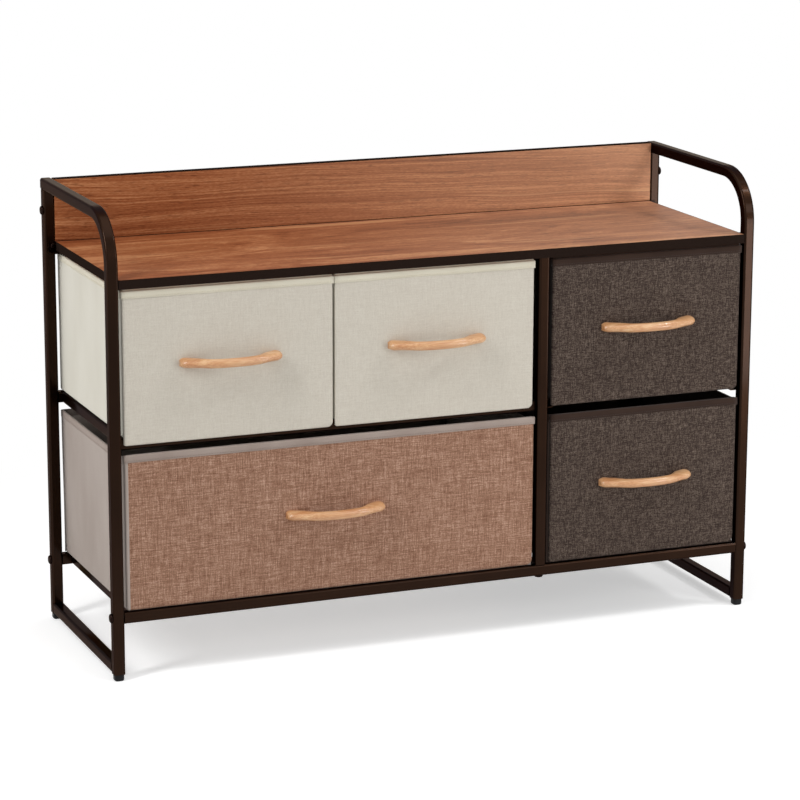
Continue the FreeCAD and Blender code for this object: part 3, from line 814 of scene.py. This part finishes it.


# Painted shade: a thin dark strip along the foot of the back board stands in for the shaded crevice where
# it meets the top board


STRIP_HEIGHT = 0.9 * MM
STRIP_PROUD = 0.2 * MM
STRIP_CELLS = 40
STRIP_SECTION = [
    (0.0, 0.0),
    (STRIP_PROUD, 0.1 * MM),
    (STRIP_PROUD, STRIP_HEIGHT - 0.15 * MM),
    (0.0, STRIP_HEIGHT),
]


def crevice_shade_strip():
    """A thin dark strip along the foot of the back board: painted shade for the crevice above the top
    board.
    """
    low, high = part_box("back_board")
    xs = steps_between(low.x, high.x, STRIP_CELLS)
    points = [(x, low.y - out, low.z + up) for x in xs for out, up in STRIP_SECTION]
    faces = ring_faces(len(xs), len(STRIP_SECTION))
    piece = make_piece("back_board_lower_strip", points, faces, [MATERIALS["edge_band"]])
    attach(piece, "frame")


crevice_shade_strip()


# Ground welds: they fill the groove between a rear post and the round edge of the arm above it


ARM_ROUNDING = 3.0 * MM
WELD_STEPS = 8
WELD_FOOT = 0.6 * MM
WELD_PROUD = 0.03 * MM
WELD_TIP = 2.0 * MM
WELD_FULL = 3.0 * MM
TIP_FULLNESS = 0.25
TIP_SINK = 0.3 * ARM_ROUNDING


def ground_weld(name, post_name, side):
    """A weld along the top of one face of a post, ground flush with the post and the arm."""
    low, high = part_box(post_name)
    face_x = high.x if side > 0 else low.x
    section = [(0.0, -WELD_FOOT)]
    section += [(WELD_PROUD, ARM_ROUNDING * k / WELD_STEPS) for k in range(WELD_STEPS + 1)]
    section += [(-ARM_ROUNDING, 0.0)]
    rings = [
        (low.y + WELD_TIP, TIP_FULLNESS),
        (low.y + WELD_FULL, 1.0),
        (high.y - WELD_FULL, 1.0),
        (high.y - WELD_TIP, TIP_FULLNESS),
    ]
    points = []
    for y, fullness in rings:
        for out, up in section:
            points.append((face_x + side * (out - TIP_SINK * (1 - fullness)), y, high.z + up))
    faces = ring_faces(len(rings), len(section))
    piece = make_piece(name, points, faces, [MATERIALS["frame_metal"]])
    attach(piece, "frame")


for hand, outward in (("left", -1), ("right", 1)):
    for face_name, side in (("inner", -outward), ("outer", outward)):
        ground_weld(f"{hand}_arm_{face_name}_weld", hand + "_rear_post", side)


# Studio: a pale floor that runs out to white, soft lamps and a camera


FLOOR_REACH = 12.0
FLOOR_SHADE = (0.85, 0.85, 0.85, 1.0)
FLOOR_LIFT = 0.44
FLOOR_STRETCH = 0.8
FLOOR_SHIFT = -0.08
WHITE_FROM = 0.45
WHITE_TO = 1.0
WORLD_LIGHT = 0.4
WORLD_SEEN = 1.0


def seen_directly(tree):
    """1 for what the camera, a mirror or a pane shows, 0 for the light that a surface passes on."""
    paths = tree.nodes.new("ShaderNodeLightPath")
    total = paths.outputs["Is Camera Ray"]
    for name in ("Is Glossy Ray", "Is Transmission Ray"):
        either = tree.nodes.new("ShaderNodeMath")
        either.operation = "MAXIMUM"
        tree.links.new(total, either.inputs[0])
        tree.links.new(paths.outputs[name], either.inputs[1])
        total = either.outputs["Value"]
    return total


def floor_material():
    """Pale floor that keeps the shadow near the dresser and runs out to plain white."""
    surface = Surface("floor", roughness=0.9, specular=0.0)
    surface.set_input("Base Color", FLOOR_SHADE)
    tree = surface.tree
    across = surface.math("MULTIPLY_ADD", surface.axis("X"), FLOOR_STRETCH, FLOOR_SHIFT)
    squares = [surface.math("POWER", reach, 2) for reach in (across, surface.axis("Y"))]
    distance = surface.math("SQRT", surface.math("ADD", *squares))
    seen = seen_directly(tree)
    lift = tree.nodes.new("ShaderNodeEmission")
    surface.join(surface.math("MULTIPLY", seen, FLOOR_LIFT), lift.inputs["Strength"])
    lifted = tree.nodes.new("ShaderNodeAddShader")
    surface.join(surface.shader.outputs["BSDF"], lifted.inputs[0])
    surface.join(lift.outputs["Emission"], lifted.inputs[1])
    white = tree.nodes.new("ShaderNodeEmission")
    both = tree.nodes.new("ShaderNodeMixShader")
    spread = surface.rise(distance, WHITE_FROM, WHITE_TO, 1.0)
    surface.join(surface.math("MULTIPLY", spread, seen), both.inputs["Fac"])
    surface.join(lifted.outputs["Shader"], both.inputs[1])
    surface.join(white.outputs["Emission"], both.inputs[2])
    surface.join(both.outputs["Shader"], tree.nodes["Material Output"].inputs["Surface"])
    return surface.material


floor_corners = [(-1, -1), (1, -1), (1, 1), (-1, 1)]
floor_points = [(x * FLOOR_REACH, y * FLOOR_REACH, 0.0) for x, y in floor_corners]
floor = make_piece("studio_floor", floor_points, [(0, 1, 2, 3)], [floor_material()])


def soft_lamp(name, place, aim, width, height, power):
    """A rectangular soft box that points at a place."""
    lamp = bpy.data.lights.new(name, "AREA")
    lamp.shape = "RECTANGLE"
    lamp.size = width
    lamp.size_y = height
    lamp.energy = power
    holder = bpy.data.objects.new(name, lamp)
    holder.location = place
    direction = Vector(aim) - Vector(place)
    holder.rotation_euler = direction.to_track_quat("-Z", "Y").to_euler()
    bpy.context.scene.collection.objects.link(holder)


soft_lamp("left_box", place=(-2.1, -0.85, 2.0), aim=(0, 0, 0.3), width=0.35, height=1.6, power=31)
soft_lamp("right_box", place=(1.7, -0.9, 2.3), aim=(0.2, 0, 0.4), width=0.4, height=0.4, power=13)
soft_lamp("front_box", place=(1.5, -2.9, 1.7), aim=(0.1, 0, 0.35), width=1.2, height=1.0, power=15)
soft_lamp("top_box", place=(0.4, -0.3, 3.0), aim=(0.1, 0, 0), width=2.2, height=1.8, power=15)
soft_lamp("right_low", place=(1.1, -1.2, 0.28), aim=(0.4, 0, 0.3), width=0.35, height=0.5, power=5)
soft_lamp("left_side", place=(-1.5, 0.3, 0.35), aim=(-0.45, 0, 0.3), width=0.5, height=0.4, power=1.6)

world = bpy.data.worlds.new("studio")
world.use_nodes = True
bpy.context.scene.world = world
sky = world.node_tree.nodes["Background"]
sky.inputs["Color"].default_value = WHITE
level = world.node_tree.nodes.new("ShaderNodeMapRange")
level.inputs["To Min"].default_value = WORLD_LIGHT
level.inputs["To Max"].default_value = WORLD_SEEN
world.node_tree.links.new(seen_directly(world.node_tree), level.inputs["Value"])
world.node_tree.links.new(level.outputs["Result"], sky.inputs["Strength"])

CAMERA_PLACE = (-1.528, -3.7347, 1.2704)
CAMERA_TURN = math.radians(22.176)
CAMERA_DIP = math.radians(13.493)
CAMERA_ROLL = math.radians(-0.176)
FOCAL_PIXELS = 3065.9
IMAGE_PIXELS = 800
SENSOR_MM = 36.0

lens = bpy.data.cameras.new("camera")
lens.sensor_width = SENSOR_MM
lens.sensor_fit = "HORIZONTAL"
lens.lens = FOCAL_PIXELS / IMAGE_PIXELS * SENSOR_MM
camera = bpy.data.objects.new("camera", lens)
ahead = Vector((
    math.sin(CAMERA_TURN) * math.cos(CAMERA_DIP),
    math.cos(CAMERA_TURN) * math.cos(CAMERA_DIP),
    -math.sin(CAMERA_DIP),
))
level_right = Vector((math.cos(CAMERA_TURN), -math.sin(CAMERA_TURN), 0))
level_down = ahead.cross(level_right)
right = level_right * math.cos(CAMERA_ROLL) + level_down * math.sin(CAMERA_ROLL)
down = level_down * math.cos(CAMERA_ROLL) - level_right * math.sin(CAMERA_ROLL)
turn = Matrix((right, -down, -ahead)).transposed().to_4x4()
camera.matrix_world = Matrix.Translation(CAMERA_PLACE) @ turn
bpy.context.scene.collection.objects.link(camera)
bpy.context.scene.camera = camera
bpy.context.scene.view_settings.view_transform = "Standard"
